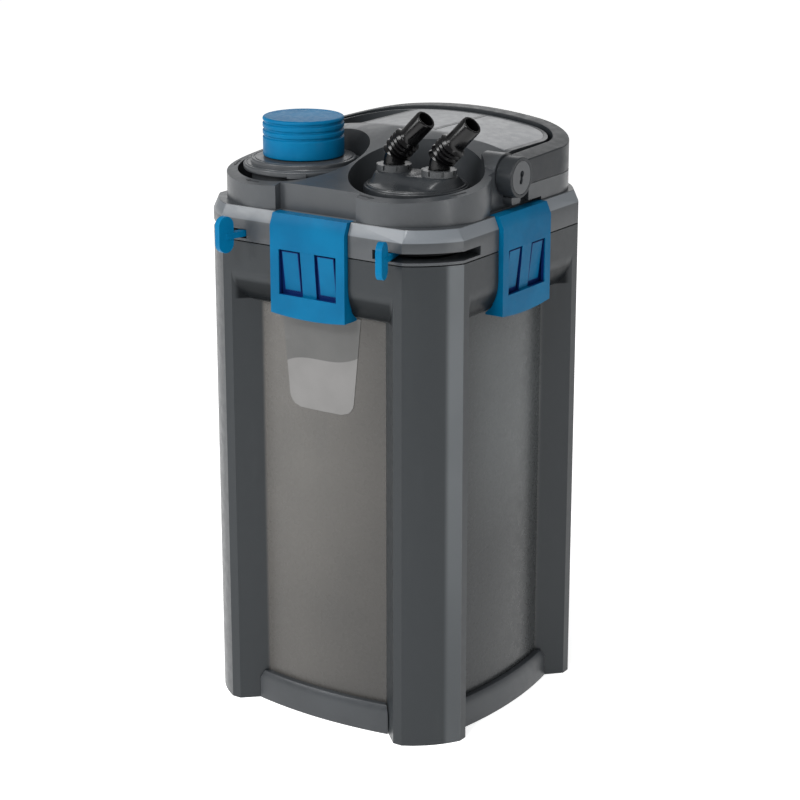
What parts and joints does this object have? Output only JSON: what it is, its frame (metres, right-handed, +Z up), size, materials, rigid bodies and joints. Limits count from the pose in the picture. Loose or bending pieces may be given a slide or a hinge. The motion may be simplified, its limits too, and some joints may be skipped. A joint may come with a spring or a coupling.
{
  "type": "aquarium canister filter",
  "caption": "Square canister filter with corner posts, side latches, folding carry handle, priming knob and swivelling hose tails.",
  "frame": {"origin": "centre of the underside, on the floor", "axes": "+Z up, -Y towards the labelled front, +X to the side of the hose tails"},
  "size_m": [0.2378, 0.2591, 0.4812],
  "materials": {
    "container_plastic": "satin moulded dark grey",
    "head_plastic": "satin moulded mid grey",
    "trim_plastic": "fine satin light grey",
    "blue_plastic": "semi-gloss blue",
    "gloss_black": "polished black",
    "inner_plastic": "matt black moulding",
    "label": "blank printed plate",
    "rubber": "soft black rubber",
    "motor_resin": "potting resin",
    "shaft_steel": "ground steel",
    "blue_foam": "open-cell filter foam",
    "orange_foam": "coarse filter foam"
  },
  "bodies": {
    "filter_body": {"base_feet": "rubber", "base_skirt_front": "container_plastic", "base_skirt_left": "container_plastic", "base_skirt_rear": "container_plastic", "base_skirt_right": "container_plastic", "basket_bottom": "inner_plastic", "basket_foam_bottom": "blue_foam", "basket_foam_middle": "blue_foam", "basket_foam_top": "blue_foam", "basket_middle": "inner_plastic", "basket_top": "inner_plastic", "cable_gland": "rubber", "container_shell": "container_plastic", "gland_collars": "head_plastic", "handle_pivots": "inner_plastic", "head_base_plate": "inner_plastic", "head_gasket": "rubber", "head_housing": "head_plastic", "heater_plug": "inner_plastic", "hose_adapter": "head_plastic", "impeller_cover": "inner_plastic", "impeller_shaft": "shaft_steel", "label_plate": "label", "latch_pins": "shaft_steel", "motor_housing": "motor_resin", "prefilter_core": "inner_plastic", "prefilter_foam": "orange_foam", "prefilter_lid": "head_plastic", "prefilter_tube": "inner_plastic", "shaft_bushes": "rubber", "tail_seals": "rubber", "top_trim_left": "trim_plastic", "top_trim_right": "trim_plastic"},
    "handle": {"carry_handle": "head_plastic", "handle_caps": "head_plastic"},
    "knob": {"priming_knob": "blue_plastic", "priming_piston": "inner_plastic"},
    "adapter_lever": {"adapter_lock_ring": "inner_plastic", "adapter_lock_lever": "blue_plastic"},
    "prefilter_lever": {"prefilter_lock_ring": "inner_plastic", "prefilter_lock_lever": "blue_plastic"},
    "inlet": {"inlet_tail": "gloss_black"},
    "outlet": {"outlet_tail": "gloss_black"},
    "impeller": {"impeller_rotor": "motor_resin", "impeller_wheel": "inner_plastic"},
    "latch_front": {"latch_cover_front": "blue_plastic", "latch_hook_front": "blue_plastic"},
    "latch_right": {"latch_cover_right": "blue_plastic", "latch_hook_right": "blue_plastic"},
    "latch_rear": {"latch_cover_rear": "blue_plastic", "latch_hook_rear": "blue_plastic"},
    "latch_left": {"latch_cover_left": "blue_plastic", "latch_hook_left": "blue_plastic"}
  },
  "joints": [
    {"name": "handle_fold", "type": "hinge", "parent": "filter_body", "child": "handle", "pos_m": [0, -0.0043, 0.4302], "axis": [1, 0, 0], "range_deg": [0, 90]},
    {"name": "knob_travel", "type": "slide", "parent": "filter_body", "child": "knob", "axis": [0, 0, 1], "range_m": [0, 0.02]},
    {"name": "adapter_unlock", "type": "hinge", "parent": "filter_body", "child": "adapter_lever", "pos_m": [0.0522, -0.051, 0.386], "axis": [0, 0, 1], "range_deg": [0, 50]},
    {"name": "prefilter_unlock", "type": "hinge", "parent": "filter_body", "child": "prefilter_lever", "pos_m": [-0.0522, -0.051, 0.386], "axis": [0, 0, -1], "range_deg": [0, 50]},
    {"name": "inlet_swivel", "type": "hinge", "parent": "filter_body", "child": "inlet", "pos_m": [0.032, -0.051, 0.4467], "axis": [0, 0, 1], "range_deg": [-90, 90]},
    {"name": "outlet_swivel", "type": "hinge", "parent": "filter_body", "child": "outlet", "pos_m": [0.0724, -0.051, 0.4467], "axis": [0, 0, 1], "range_deg": [-90, 90]},
    {"name": "impeller_spin", "type": "hinge", "parent": "filter_body", "child": "impeller", "pos_m": [0, 0.045, 0.38], "axis": [0, 0, 1], "continuous": true},
    {"name": "latch_front_open", "type": "hinge", "parent": "filter_body", "child": "latch_front", "pos_m": [0, -0.1105, 0.399], "axis": [-1, 0, 0], "range_deg": [0, 75]},
    {"name": "latch_right_open", "type": "hinge", "parent": "filter_body", "child": "latch_right", "pos_m": [0.1105, 0, 0.399], "axis": [0, -1, 0], "range_deg": [0, 75]},
    {"name": "latch_rear_open", "type": "hinge", "parent": "filter_body", "child": "latch_rear", "pos_m": [0, 0.1105, 0.399], "axis": [1, 0, 0], "range_deg": [0, 75]},
    {"name": "latch_left_open", "type": "hinge", "parent": "filter_body", "child": "latch_left", "pos_m": [-0.1105, 0, 0.399], "axis": [0, 1, 0], "range_deg": [0, 75]}
  ]
}
